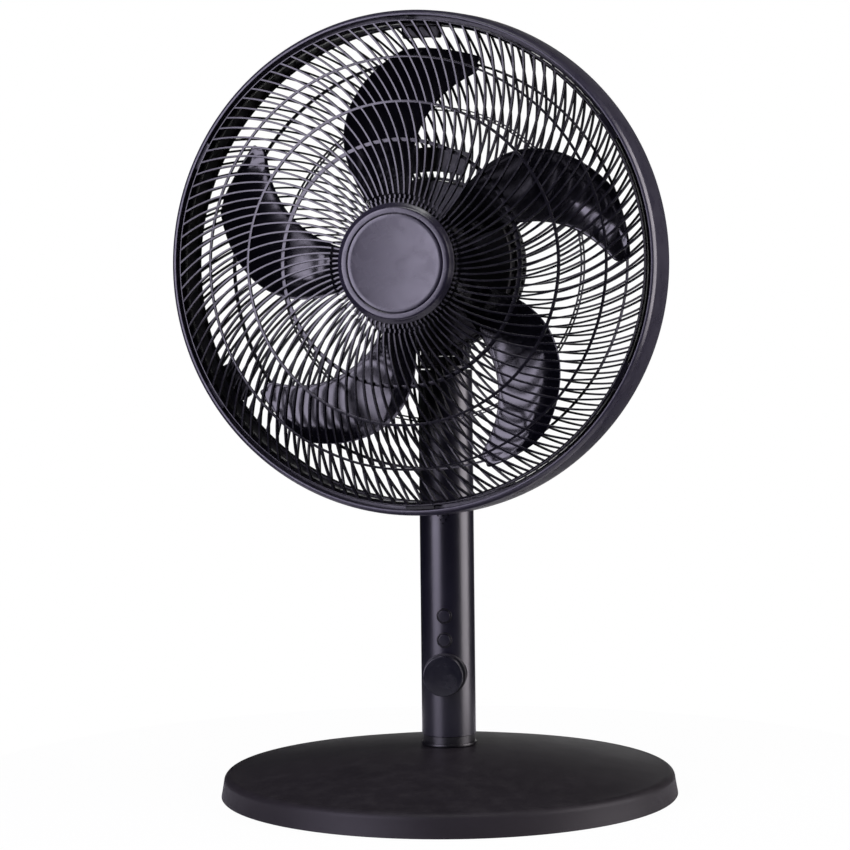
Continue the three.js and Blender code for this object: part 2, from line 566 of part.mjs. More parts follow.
// ---- head: centre cap ----
const capSeat = frontFace(FRONT_INNER_R) + GAP - 0.2;
const ledge = CAP_FRONT - CAP_DISC_T - 0.65 - GAP;
piece(head, 'cap_ring', turnedOut([
  [CAP_DISC_R + GAP, ledge], [CAP_DISC_R + GAP, CAP_FRONT - 0.5], [CAP_DISC_R + 1, CAP_FRONT],
  [CAP_R - 2.6, CAP_FRONT], [CAP_R - 0.6, CAP_FRONT - 1.4], [CAP_R + CAP_SKIRT, capSeat],
  [CAP_DISC_R - 4, capSeat], [CAP_DISC_R - 4, ledge],
], 30), 'band');
piece(head, 'cap_disc', turnedOut([
  [0, CAP_FRONT - CAP_DISH - CAP_DISC_T], [CAP_DISC_R, CAP_FRONT - CAP_DISC_T - 0.5],
  [CAP_DISC_R, CAP_FRONT - 0.9], [CAP_DISC_R - 0.6, CAP_FRONT - 0.4],
  [CAP_DISC_R * 0.55, CAP_FRONT - CAP_DISH * 0.75], [0, CAP_FRONT - CAP_DISH],
], 32), 'cap');

// ---- impeller ----
const span = (r) => (r - HUB_R) / (BLADE_TIP_R - HUB_R);
const trailAngle = (r) => BLADE_TRAIL[0] - BLADE_TRAIL[1] * Math.max(0, span(r)) ** BLADE_TRAIL[2];
const leadAngle = (r) => BLADE_LEAD[0] - BLADE_LEAD[1] * Math.max(0, span(r)) ** BLADE_LEAD[2];
const rootR = HUB_R - HUB_WALL / 2;   // the root ends inside the hub's wall
function blade(turn) {
  const chord = 4, along = 7;
  const position = [], index = [];
  for (let i = 0; i <= along; i++) {
    const f = i / along;
    const r0 = rootR + (BLADE_TIP_R - rootR) * (1 - (1 - f) ** 1.15);
    for (let j = 0; j <= chord; j++) {
      const v = j / chord;
      const r = r0 - (i === along ? 5 * (2 * v - 1) ** 4 : 0);
      const angle = rad(turn + leadAngle(r) + (trailAngle(r) - leadAngle(r)) * v);
      const hollow = 7 * v * (1 - v) - 3 * Math.max(0, span(r)) * (1 - v);
      const mid = BLADE_REAR + (BLADE_FRONT - BLADE_REAR) * v - hollow;
      const half = (BLADE_T / 2) * (1 - 0.45 * Math.abs(2 * v - 1) ** 3);
      position.push(...headPoint(r, angle, mid + half), ...headPoint(r, angle, mid - half));
    }
  }
  const at = (i, j, back) => 2 * (i * (chord + 1) + j) + back;
  const quad = (a, b, c, d) => index.push(a, b, c, a, c, d);
  for (let i = 0; i < along; i++) {
    for (let j = 0; j < chord; j++) {
      quad(at(i, j, 0), at(i + 1, j, 0), at(i + 1, j + 1, 0), at(i, j + 1, 0));
      quad(at(i, j, 1), at(i, j + 1, 1), at(i + 1, j + 1, 1), at(i + 1, j, 1));
    }
    quad(at(i, 0, 0), at(i, 0, 1), at(i + 1, 0, 1), at(i + 1, 0, 0));
    quad(at(i, chord, 0), at(i + 1, chord, 0), at(i + 1, chord, 1), at(i, chord, 1));
  }
  for (let j = 0; j < chord; j++) {
    quad(at(0, j, 0), at(0, j + 1, 0), at(0, j + 1, 1), at(0, j, 1));
    quad(at(along, j, 0), at(along, j, 1), at(along, j + 1, 1), at(along, j + 1, 0));
  }
  const g = new THREE.BufferGeometry();
  g.setAttribute('position', new THREE.Float32BufferAttribute(position, 3));
  g.setIndex(index);
  return toSolid(g);
}
const hubBore = SHAFT_R + GAP;
const hub = turnedOut([
  [hubBore, HUB_D[0] + 8], [hubBore + 5, HUB_D[0] + 8], [hubBore + 5, HUB_D[1] - 6],
  [HUB_R - HUB_WALL, HUB_D[1] - 6], [HUB_R - HUB_WALL, HUB_D[0]], [HUB_R, HUB_D[0]],
  [HUB_R, HUB_D[1] - 4], [HUB_R - 4, HUB_D[1]], [hubBore, HUB_D[1]],
], 24);
const blades = [];
for (let i = 0; i < BLADES; i++) blades.push(blade((360 * i) / BLADES));
piece(head, 'impeller', join(hub, ...blades), 'blade');
piece(head, 'spinner', turnedOut([
  [hubBore, HUB_D[1] + GAP], [SPINNER_R, HUB_D[1] + GAP], [SPINNER_R - 1, HUB_D[1] + SPINNER_H - 2],
  [SPINNER_R - 4, HUB_D[1] + SPINNER_H], [hubBore, HUB_D[1] + SPINNER_H],
], 16), 'blade');
piece(head, 'motor_shaft', turnedOut([
  [0, shaftBack], [SHAFT_R, shaftBack], [SHAFT_R, HUB_D[1] + SPINNER_H - 2], [0, HUB_D[1] + SPINNER_H - 2],
], 18), 'steel');
piece(head, 'rotor', turnedOut([
  [hubBore, STATOR_D[0] + 1], [ROTOR_R, STATOR_D[0] + 1],
  [ROTOR_R, STATOR_D[1] - 1], [hubBore, STATOR_D[1] - 1],
], 20), 'iron');
const bearing = (d0) => turnedOut([
  [hubBore, d0], [BEARING_R, d0], [BEARING_R, d0 + BEARING_T], [hubBore, d0 + BEARING_T],
], 14);
piece(head, 'bearing_front', bearing(nose - 14 - GAP - BEARING_T), 'steel');
piece(head, 'bearing_rear', bearing(MOTOR_REAR + 6), 'steel');

export default root;
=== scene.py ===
import math

import bmesh
import bpy
import numpy as np
from mathutils import Matrix, Vector


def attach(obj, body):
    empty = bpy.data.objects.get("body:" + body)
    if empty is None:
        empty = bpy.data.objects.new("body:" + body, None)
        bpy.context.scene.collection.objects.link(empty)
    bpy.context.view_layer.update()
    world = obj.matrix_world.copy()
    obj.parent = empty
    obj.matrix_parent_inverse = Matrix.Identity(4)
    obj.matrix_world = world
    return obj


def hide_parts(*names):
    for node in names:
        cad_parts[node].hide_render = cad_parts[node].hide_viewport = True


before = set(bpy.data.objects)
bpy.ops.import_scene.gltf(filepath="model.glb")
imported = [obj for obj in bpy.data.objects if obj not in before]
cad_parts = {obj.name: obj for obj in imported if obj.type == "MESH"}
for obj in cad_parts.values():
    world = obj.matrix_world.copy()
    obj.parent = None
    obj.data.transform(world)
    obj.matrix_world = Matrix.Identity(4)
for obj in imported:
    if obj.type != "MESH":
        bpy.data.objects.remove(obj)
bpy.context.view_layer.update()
scene = bpy.context.scene
mm = 0.001

# Sizes are in millimetres. The stand is drawn about the pole. The head is drawn about the fan's
# axis, which is turned a little from the pole's front, with d the distance forward of the pole.
axisZ = 486.8
pivotZ = 415.0   # the bolt that the head tilts about
swung = math.radians(-8.06)
stand = Matrix.Identity(4)
neck = Matrix.Rotation(swung, 4, "Z")
head = Matrix.Translation((0, 0, axisZ * mm)) @ Matrix.Rotation(swung, 4, "Z")

# The camera, at the height of the fan and a little to its right.
view = dict(x=0.30774, y=-2.30636, z=0.4524, turn=8.07, tilt=-2.756, roll=-0.642, lens=107.18)
camera = bpy.data.objects.new("camera", bpy.data.cameras.new("camera"))
camera.data.lens = view["lens"]
camera.data.sensor_width = 36
camera.matrix_world = (
    Matrix.Translation((view["x"], view["y"], view["z"]))
    @ Matrix.Rotation(math.radians(view["turn"]), 4, "Z")
    @ Matrix.Rotation(math.radians(90 + view["tilt"]), 4, "X")
    @ Matrix.Rotation(math.radians(view["roll"]), 4, "Z")
)
scene.collection.objects.link(camera)
scene.camera = camera
scene.view_settings.view_transform = "Standard"
print("camera set")


def newGroup(name, inputs, outputs):
    group = bpy.data.node_groups.new(name, "ShaderNodeTree")
    for label, value in inputs:
        socket = group.interface.new_socket(label, in_out="INPUT", socket_type="NodeSocketFloat")
        socket.default_value = value
    for label in outputs:
        group.interface.new_socket(label, in_out="OUTPUT", socket_type="NodeSocketFloat")
    return group, group.nodes.new("NodeGroupInput"), group.nodes.new("NodeGroupOutput")


def feed(tree, socket, value):
    # A constant is set on the socket itself, anything else is linked.
    if isinstance(value, (int, float)):
        socket.default_value = value
    else:
        tree.links.new(value, socket)


def mathNode(tree, operation, a, b=0.5, clamp=False):
    node = tree.nodes.new("ShaderNodeMath")
    node.operation = operation
    node.use_clamp = clamp
    for socket, value in zip(node.inputs, (a, b)):
        feed(tree, socket, value)
    return node.outputs[0]


def rangeNode(tree, value, low, high, outLow=0.0, outHigh=1.0):
    node = tree.nodes.new("ShaderNodeMapRange")
    node.interpolation_type = "SMOOTHSTEP"
    tree.links.new(value, node.inputs["Value"])
    limits = (("From Min", low), ("From Max", high), ("To Min", outLow), ("To Max", outHigh))
    for label, limit in limits:
        feed(tree, node.inputs[label], limit)
    return node.outputs["Result"]


def noiseNode(tree, scale, detail=3.0, roughness=0.55, warp=0.0):
    node = tree.nodes.new("ShaderNodeTexNoise")
    place = tree.nodes.new("ShaderNodeTexCoord")
    tree.links.new(place.outputs["Object"], node.inputs["Vector"])
    node.inputs["Detail"].default_value = detail
    node.inputs["Roughness"].default_value = roughness
    node.inputs["Distortion"].default_value = warp
    feed(tree, node.inputs["Scale"], scale)
    return node.outputs["Fac"]


def greyNode(tree, level):
    node = tree.nodes.new("ShaderNodeCombineColor")
    for channel in ("Red", "Green", "Blue"):
        tree.links.new(level, node.inputs[channel])
    return node.outputs["Color"]


# Spark-eroded grain of a moulding tool: small pits over a softer roll.
grainGroup, start, end = newGroup("mouldGrain", [("Size", 2600.0), ("Pits", 0.6)], ["Height"])
pits = grainGroup.nodes.new("ShaderNodeTexVoronoi")
place = grainGroup.nodes.new("ShaderNodeTexCoord")
grainGroup.links.new(place.outputs["Object"], pits.inputs["Vector"])
grainGroup.links.new(start.outputs["Size"], pits.inputs["Scale"])
roll = noiseNode(grainGroup, mathNode(grainGroup, "MULTIPLY", start.outputs["Size"], 0.45), 4, 0.6)
pitted = mathNode(grainGroup, "MULTIPLY", pits.outputs["Distance"], start.outputs["Pits"])
grainGroup.links.new(mathNode(grainGroup, "ADD", roll, pitted), end.inputs["Height"])

# Slow change of tone, as moulded plastic flows and as coats dry.
toneInputs = [("Size", 22.0), ("Low", 0.35), ("High", 0.65)]
toneGroup, start, end = newGroup("toneDrift", toneInputs, ["Tone"])
slow = noiseNode(toneGroup, start.outputs["Size"], 4, 0.6, 0.3)
drift = rangeNode(toneGroup, slow, start.outputs["Low"], start.outputs["High"])
toneGroup.links.new(drift, end.inputs["Tone"])

# Edges that hands and cloths have polished.
rubInputs = [("Start", 0.53), ("Full", 0.62), ("Break", 90.0)]
rubGroup, start, end = newGroup("edgeRub", rubInputs, ["Rub"])
shape = rubGroup.nodes.new("ShaderNodeNewGeometry")
edge = rangeNode(rubGroup, shape.outputs["Pointiness"], start.outputs["Start"], start.outputs["Full"])
patches = noiseNode(rubGroup, start.outputs["Break"], 5, 0.65)
broken = rangeNode(rubGroup, patches, 0.35, 0.6, 0.35, 1.0)
rubGroup.links.new(mathNode(rubGroup, "MULTIPLY", edge, broken), end.inputs["Rub"])

# A trace of dust on whatever faces up.
dustGroup, start, end = newGroup("restingDust", [("Amount", 0.1), ("Size", 60.0)], ["Dust"])
shape = dustGroup.nodes.new("ShaderNodeNewGeometry")
split = dustGroup.nodes.new("ShaderNodeSeparateXYZ")
dustGroup.links.new(shape.outputs["Normal"], split.inputs["Vector"])
upward = rangeNode(dustGroup, split.outputs["Z"], 0.5, 0.98)
flecks = rangeNode(dustGroup, noiseNode(dustGroup, start.outputs["Size"], 8, 0.7), 0.42, 0.7)
lying = mathNode(dustGroup, "MULTIPLY", upward, flecks)
settled = mathNode(dustGroup, "MULTIPLY", lying, start.outputs["Amount"])
dustGroup.links.new(settled, end.inputs["Dust"])

# Fine hairlines round a turned or drawn piece.
hairGroup, start, end = newGroup("hairLines", [("Size", 900.0), ("Stretch", 0.02)], ["Line"])
place = hairGroup.nodes.new("ShaderNodeTexCoord")
squeeze = hairGroup.nodes.new("ShaderNodeVectorMath")
squeeze.operation = "MULTIPLY"
stretch = hairGroup.nodes.new("ShaderNodeCombineXYZ")
stretch.inputs["X"].default_value = 1.0
stretch.inputs["Y"].default_value = 1.0
hairGroup.links.new(start.outputs["Stretch"], stretch.inputs["Z"])
hairGroup.links.new(place.outputs["Object"], squeeze.inputs[0])
hairGroup.links.new(stretch.outputs["Vector"], squeeze.inputs[1])
lines = hairGroup.nodes.new("ShaderNodeTexNoise")
lines.inputs["Detail"].default_value = 2.0
hairGroup.links.new(squeeze.outputs["Vector"], lines.inputs["Vector"])
hairGroup.links.new(start.outputs["Size"], lines.inputs["Scale"])
hairGroup.links.new(lines.outputs["Fac"], end.inputs["Line"])


def finish(name, colour, shade, roughness, grain=2600.0, depth=0.02, pits=0.6, spread=0.06,
           metal=0.0, coat=0.0, coatRoughness=0.1, specular=0.5, rub=0.35, dust=0.08, drift=22.0,
           hair=None):
    # colour drifts to shade, roughness by spread; depth is the height of the grain.
    material = bpy.data.materials.new(name)
    material.use_nodes = True
    tree = material.node_tree
    shader = tree.nodes["Principled BSDF"]
    shader.inputs["Metallic"].default_value = metal
    shader.inputs["Specular IOR Level"].default_value = specular
    shader.inputs["Coat Roughness"].default_value = coatRoughness
    shader.inputs["Coat Weight"].default_value = coat

    def effect(group, **settings):
        node = tree.nodes.new("ShaderNodeGroup")
        node.node_tree = group
        for label, value in settings.items():
            node.inputs[label].default_value = value
        return node.outputs[0]

    def mix(factor, a, b):
        node = tree.nodes.new("ShaderNodeMix")
        node.data_type = "RGBA"
        tree.links.new(factor, node.inputs["Factor"])
        for socket, value in ((node.inputs[6], a), (node.inputs[7], b)):
            if isinstance(value, tuple):
                socket.default_value = (*value, 1)
            else:
                tree.links.new(value, socket)
        return node.outputs[2]

    paint = mix(effect(toneGroup, Size=drift), colour, shade)
    rubbed = mathNode(tree, "MULTIPLY", effect(rubGroup), rub)
    paint = mix(rubbed, paint, tuple(min(1.0, c * 2 + 0.004) for c in colour))
    settledDust = effect(dustGroup, Amount=dust)
    dustGrey = (0.22, 0.21, 0.2)
    tree.links.new(mix(settledDust, paint, dustGrey), shader.inputs["Base Color"])

    smear = noiseNode(tree, drift * 3.1, 5, 0.6, 0.4)
    rough = rangeNode(tree, smear, 0.3, 0.7, roughness - spread, roughness + spread)
    polished = mathNode(tree, "SUBTRACT", rough, mathNode(tree, "MULTIPLY", rubbed, 0.12))
    dulled = mathNode(tree, "ADD", polished, settledDust, clamp=True)
    tree.links.new(dulled, shader.inputs["Roughness"])

    height = effect(grainGroup, Size=grain, Pits=pits)
    if hair:
        size, squash, strength = hair
        drawn = effect(hairGroup, Size=size, Stretch=squash)
        height = mathNode(tree, "ADD", height, mathNode(tree, "MULTIPLY", drawn, strength))
    bump = tree.nodes.new("ShaderNodeBump")
    bump.inputs["Strength"].default_value = 0.6
    bump.inputs["Distance"].default_value = depth * mm
    tree.links.new(height, bump.inputs["Height"])
    tree.links.new(bump.outputs["Normal"], shader.inputs["Normal"])
    return material


basePlastic = finish("basePlastic", (0.0135, 0.0118, 0.0135), (0.0108, 0.0094, 0.0108), 0.5,
                     grain=1500, depth=0.07, pits=0.8, spread=0.015, dust=0.03, rub=0.2,
                     specular=0.17, drift=9)
poleCoat = finish("poleCoat", (0.0034, 0.0031, 0.0078), (0.0029, 0.0027, 0.0068), 0.3,
                  grain=1900, depth=0.007, pits=0.3, spread=0.013, rub=0.05, dust=0.01)
controlPlastic = finish("controlPlastic", (0.005, 0.0052, 0.009), (0.004, 0.0042, 0.0075), 0.24,
                        depth=0.012, rub=0.3)
bandPlastic = finish("bandPlastic", (0.024, 0.0222, 0.034), (0.0205, 0.019, 0.0295), 0.31,
                     grain=2200, depth=0.03, rub=0.15)
ribPlastic = finish("ribPlastic", (0.005, 0.0046, 0.0075), (0.004, 0.0037, 0.0062), 0.25,
                    depth=0.008, rub=0.1)
rearRibPlastic = finish("rearRibPlastic", (0.003, 0.003, 0.004), (0.0022, 0.0022, 0.003), 0.34,
                        depth=0.01, rub=0.1)
capPlastic = finish("capPlastic", (0.015, 0.0132, 0.0215), (0.0125, 0.0112, 0.0185), 0.25,
                    grain=2400, depth=0.018, pits=0.9, rub=0.1, dust=0.01)
bladeGloss = finish("bladeGloss", (0.0035, 0.0033, 0.0055), (0.0028, 0.0026, 0.0045), 0.1,
                    grain=420, depth=0.008, pits=0.1, spread=0.025, coat=0.15,
                    coatRoughness=0.05, specular=0.42, rub=0.1, dust=0.02)
innerPlastic = finish("innerPlastic", (0.005, 0.005, 0.007), (0.004, 0.004, 0.0055), 0.42,
                      grain=2400, depth=0.015)
footRubber = finish("footRubber", (0.012, 0.012, 0.012), (0.009, 0.009, 0.009), 0.85,
                    grain=1800, depth=0.05, dust=0.15)
turnedSteel = finish("turnedSteel", (0.42, 0.43, 0.45), (0.36, 0.37, 0.39), 0.3, grain=1500,
                     depth=0.004, pits=0.1, metal=1.0, hair=(700, 0.03, 0.8), dust=0.02)
castIron = finish("castIron", (0.09, 0.09, 0.095), (0.06, 0.06, 0.064), 0.62, grain=900,
                  depth=0.12, pits=0.9, metal=0.8)
copperWire = finish("copperWire", (0.42, 0.17, 0.07), (0.33, 0.13, 0.05), 0.32, grain=2000,
                    depth=0.01, metal=0.9, hair=(1400, 0.05, 2.0))
greenBoard = finish("greenBoard", (0.01, 0.05, 0.028), (0.008, 0.04, 0.022), 0.4, grain=3000,
                    depth=0.01, hair=(600, 0.4, 0.5))
print("finishes made")


def eased(corners, closed=True, steps=6):
    # Rounds each corner that carries a third number, the length cut from both its sides.
    points = []
    for i, corner in enumerate(corners):
        spot = Vector(corner[:2])
        ease = corner[2] if len(corner) > 2 else 0
        if not ease or (not closed and i in (0, len(corners) - 1)):
            points.append(tuple(spot))
            continue
        before = Vector(corners[i - 1][:2]) - spot
        after = Vector(corners[(i + 1) % len(corners)][:2]) - spot
        cut = min(ease, before.length * 0.49, after.length * 0.49)
        p, q = spot + before.normalized() * cut, spot + after.normalized() * cut
        for k in range(steps + 1):
            t = k / steps
            points.append(tuple(p * (1 - t) ** 2 + spot * 2 * t * (1 - t) + q * t * t))
    return points


def turned(profile, segments=160, forward=False):
    # Turns [radius, height] about the pole, or [radius, d] about the fan's axis.
    closed = profile[0][0] > 1e-6 and profile[-1][0] > 1e-6
    verts, rings, faces = [], [], []
    for r, h in profile:
        count = 1 if r < 1e-6 else segments
        rings.append((len(verts), count))
        for k in range(count):
            a = 2 * math.pi * k / segments
            x, y = r * math.cos(a), r * math.sin(a)
            verts.append((x, -h, y) if forward else (x, y, h))
    pairs = list(zip(rings, rings[1:])) + ([(rings[-1], rings[0])] if closed else [])
    for (a, countA), (b, countB) in pairs:
        for k in range(segments):
            m = (k + 1) % segments
            if countA == 1 and countB == 1:
                continue
            if countA == 1:
                faces.append((a, b + m, b + k))
            elif countB == 1:
                faces.append((a + k, a + m, b))
            else:
                faces.append((a + k, a + m, b + m, b + k))
    return verts, faces


def arcBar(section, middle, half, steps=12, soften=0.8):
    # Sweeps a closed [radius, d] section round part of the fan's axis, its ends drawn in a little.
    centre = [sum(p[i] for p in section) / len(section) for i in (0, 1)]
    first, last = middle - half, middle + half
    reach = math.degrees(soften / centre[0])
    stations = [(first, soften), (first + reach * 0.35, soften * 0.35), (first + reach, 0)]
    stations += [(first + reach + (last - first - 2 * reach) * k / steps, 0) for k in range(1, steps)]
    stations += [(last - reach, 0), (last - reach * 0.35, soften * 0.35), (last, soften)]
    verts, faces = [], []
    size = len(section)
    for angle, shrink in stations:
        a = math.radians(angle)
        for r, d in section:
            away = math.hypot(r - centre[0], d - centre[1]) or 1
            r2 = r - (r - centre[0]) / away * shrink
            d2 = d - (d - centre[1]) / away * shrink
            verts.append((r2 * math.cos(a), -d2, r2 * math.sin(a)))
    for i in range(len(stations) - 1):
        for k in range(size):
            m = (k + 1) % size
            faces.append((i * size + k, i * size + m, (i + 1) * size + m, (i + 1) * size + k))
    faces.append(tuple(range(size - 1, -1, -1)))
    faces.append(tuple(range((len(stations) - 1) * size, len(stations) * size)))
    return verts, faces


def joined(*shells):
    verts, faces = [], []
    for v, f in shells:
        shift = len(verts)
        verts.extend(map(tuple, v))
        faces.extend(tuple(i + shift for i in face) for face in f)
    return verts, faces


def shifted(shell, x=0, y=0, z=0):
    return [(a + x, b + y, c + z) for a, b, c in shell[0]], shell[1]


def rod(radius, near, far, segments):
    # A plain round cutter along the fan's axis, from d near to d far.
    return turned([(0, near), (radius, near), (radius, far), (0, far)], segments, forward=True)


def circle(radius, z, count):
    turn = 2 * math.pi / count
    return [(radius * math.cos(turn * k), z + radius * math.sin(turn * k)) for k in range(count)]


def slab(outline, low, high, axis="x", ease=0.6):
    # Extrudes a flat outline along an axis and softens its rims.
    order = {"x": lambda u, v, w: (w, u, v),
             "y": lambda u, v, w: (u, w, v),
             "z": lambda u, v, w: (u, v, w)}[axis]
    shape = bmesh.new()
    bottom = [shape.verts.new(order(u, v, low)) for u, v in outline]
    top = [shape.verts.new(order(u, v, high)) for u, v in outline]
    rims = [shape.faces.new(bottom), shape.faces.new(top)]
    for i in range(len(outline)):
        j = (i + 1) % len(outline)
        shape.faces.new((bottom[i], bottom[j], top[j], top[i]))
    bmesh.ops.recalc_face_normals(shape, faces=shape.faces)
    if ease:
        edges = list({e for f in rims for e in f.edges})
        bmesh.ops.bevel(shape, geom=edges, offset=ease, segments=3, profile=0.6, affect="EDGES")
    shape.verts.ensure_lookup_table()
    verts = [tuple(v.co) for v in shape.verts]
    for i, v in enumerate(shape.verts):
        v.index = i
    faces = [tuple(v.index for v in f.verts) for f in shape.faces]
    shape.free()
    return verts, faces


def box(halfWidth, low, high):
    return [(-halfWidth, low), (halfWidth, low), (halfWidth, high), (-halfWidth, high)]


def meshOf(name, shell):
    mesh = bpy.data.meshes.new(name)
    mesh.from_pydata((np.asarray(shell[0], float) * mm).tolist(), [], list(shell[1]))
    shape = bmesh.new()
    shape.from_mesh(mesh)
    bmesh.ops.recalc_face_normals(shape, faces=shape.faces)
    shape.to_mesh(mesh)
    shape.free()
    return mesh


def cutAway(piece, shell):
    cutter = bpy.data.objects.new(piece.name + "Cutter", meshOf(piece.name + "Cutter", shell))
    scene.collection.objects.link(cutter)
    modifier = piece.modifiers.new("carve", "BOOLEAN")
    modifier.object = cutter
    modifier.operation = "DIFFERENCE"
    modifier.solver = "EXACT"
    modifier.use_self = True
    bpy.context.view_layer.update()
    graph = bpy.context.evaluated_depsgraph_get()
    carved = bpy.data.meshes.new_from_object(piece.evaluated_get(graph))
    piece.modifiers.clear()
    piece.data = carved
    bpy.data.objects.remove(cutter)


def keepRound(mesh, radius):
    # True normals on a round wall about the pole that was cut.
    co = np.array([v.co for v in mesh.vertices])[:, :2]
    onWall = np.abs(np.hypot(co[:, 0], co[:, 1]) - radius) < 2e-5
    normals = np.array([c.vector for c in mesh.corner_normals])
    for face in mesh.polygons:
        if all(onWall[i] for i in face.vertices):
            for loop in face.loop_indices:
                u, v = co[mesh.loops[loop].vertex_index] / radius
                normals[loop] = (u, v, 0)
    mesh.normals_split_custom_set(normals.tolist())


def makePiece(name, shell, body, material, swaps, place=stand, sharp=32, carve=None,
              roundAt=None):
    piece = bpy.data.objects.new(name, meshOf(name, shell))
    scene.collection.objects.link(piece)
    if carve:
        cutAway(piece, carve)
    mesh = piece.data
    mesh.polygons.foreach_set("use_smooth", np.ones(len(mesh.polygons), bool))
    mesh.set_sharp_from_angle(angle=math.radians(sharp))
    if roundAt:
        keepRound(mesh, roundAt * mm)
    mesh.transform(place)
    mesh.materials.clear()
    mesh.materials.append(material)
    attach(piece, body)
    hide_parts(*swaps)


# Base: a moulded cover with a low crown, its closing plate, five pads and the inlet.
base = dict(rim=210.8, rimZ=0.15, lip=0.5, lean=2.5, edgeZ=14.8, fillet=7.5, squash=0.93,
            top=45.2, crownPower=1.15, wall=3.0, bore=18.8)
inner = base["rim"] - base["lean"] - base["fillet"]
filletRise = base["fillet"] * base["squash"]
shoulder = base["edgeZ"] + filletRise


def crown(r):
    fall = max(0.0, 1 - (r / inner) ** 2) ** base["crownPower"]
    return shoulder + (base["top"] - shoulder) * fall


wallR = base["rim"] - base["wall"]
skin = [(base["rim"] - base["lip"], base["rimZ"]), (base["rim"], base["rimZ"] + base["lip"]),
        (base["rim"] - base["lean"] / 2, (base["edgeZ"] + base["rimZ"]) / 2)]
for k in range(13):
    a = math.pi / 2 * k / 12
    skin.append((inner + base["fillet"] * math.cos(a), base["edgeZ"] + filletRise * math.sin(a)))
for k in range(1, 33):
    r = inner * (1 - k / 36)
    skin.append((r, crown(r)))
skin += [(base["bore"], base["top"]), (base["bore"], base["top"] - base["wall"])]
skin += [(inner * f, crown(inner * f) - base["wall"]) for f in (0.3, 0.5, 0.7, 0.85, 0.985)]
skin += [(wallR - base["lean"], base["edgeZ"]), (wallR, base["rimZ"])]

inlet = dict(z=11.6, hole=4.5, bore=2.6, sleeve=4.2, flange=5.8, outer=-209.8, wall=-201.8,
             back=-198.8)
inletHole = shifted(rod(inlet["hole"], -20, 20, 40), y=212, z=inlet["z"])
makePiece("baseShell", turned(skin, 224), "stand", basePlastic, ["base_cover"],
          carve=inletHole, sharp=40)

plate = dict(r=202.9, low=3.3, high=5.3)
plateShape = eased([(0, plate["low"]), (plate["r"] - 0.5, plate["low"], 0.8),
                    (plate["r"], plate["high"]), (0, plate["high"])], closed=False)
makePiece("closingPlate", turned(plateShape, 160), "stand", basePlastic, ["base_plate"])

pad = dict(count=5, ring=178, foot=9.2, r=10, high=3)
padShape = eased([(0, 0), (pad["foot"], 0, 0.8), (pad["r"], 1.2, 0.5), (9.6, pad["high"], 0.3),
                  (0, pad["high"])], closed=False)
for i in range(pad["count"]):
    a = math.radians(90 + 360 / pad["count"] * i)
    shell = shifted(turned(padShape, 48), pad["ring"] * math.cos(a), pad["ring"] * math.sin(a))
    makePiece(f"rubberPad{i + 1}", shell, "stand", footRubber, [f"foot_{i + 1}"])

bushShape = eased([
    (inlet["bore"], inlet["outer"] + 0.2, 0.4), (inlet["sleeve"], inlet["outer"], 0.4),
    (inlet["sleeve"], inlet["wall"]), (inlet["flange"], inlet["wall"]),
    (inlet["flange"], inlet["back"]), (inlet["bore"], inlet["back"]),
])
makePiece("inletBush", shifted(turned(bushShape, 48, forward=True), z=inlet["z"]), "stand",
          innerPlastic, ["power_inlet"])
print("base made")

# Pole: a straight tube over a dark collar, drilled for the pin holes, the buttons and the knob.
pole = dict(r=24.9, wall=2.3, low=54.8, high=391.0)
button = dict(z=dict(upper=166.4, lower=144.3), r=5.5, back=17.5, rim=26.0, front=26.15)
wellRing = dict(hole=7.2, r=6.9, bore=5.9, flange=8.5, back=14.8, step=18.4, front=24.4)
knob = dict(z=112.8, stem=3, hole=4.3, r=18.2, back=28.1, front=39.4, boss=19.7, bossFront=27.5)
pinR = 0.75
drillEnds = (12, 30)   # from inside the tube to in front of it
pinHoles = [(-2.4, 262.4), (2.4, 262.4), (-4.8, 258.6), (0, 258.6), (4.8, 258.6), (-2.4, 254.8),
            (2.4, 254.8), (0, 251.4)]

drills = [shifted(rod(pinR, 10, 30, 16), x=x, z=z) for x, z in pinHoles]
drills += [shifted(rod(wellRing["hole"], *drillEnds, 72), z=z) for z in button["z"].values()]
drills.append(shifted(rod(knob["hole"], *drillEnds, 40), z=knob["z"]))
bore = pole["r"] - pole["wall"]
barrel = eased([(bore, pole["low"]), (pole["r"], pole["low"], 0.5), (pole["r"], pole["high"], 0.5),
                (bore, pole["high"])])
makePiece("poleBarrel", turned(barrel, 192), "stand", poleCoat, ["pole_tube"],
          carve=joined(*drills), roundAt=pole["r"])

collar = dict(r=25.4, low=45.5, lip=47.9, neckR=23.9, neckTop=54.5, plugR=22.3, plugTop=84.4,
              bore=15.5, throat=18.5, foot=5.6)
collarShape = eased([
    (collar["bore"], collar["foot"]), (collar["throat"], collar["foot"]),
    (collar["throat"], collar["low"]), (collar["r"], collar["low"], 0.3),
    (collar["r"], collar["lip"], 1.1), (collar["neckR"], collar["lip"]),
    (collar["neckR"], collar["neckTop"]), (collar["plugR"], collar["neckTop"]),
    (collar["plugR"], collar["plugTop"]), (collar["bore"], collar["plugTop"]),
])
makePiece("poleCollar", turned(collarShape, 160), "stand", rearRibPlastic, ["pole_collar"])

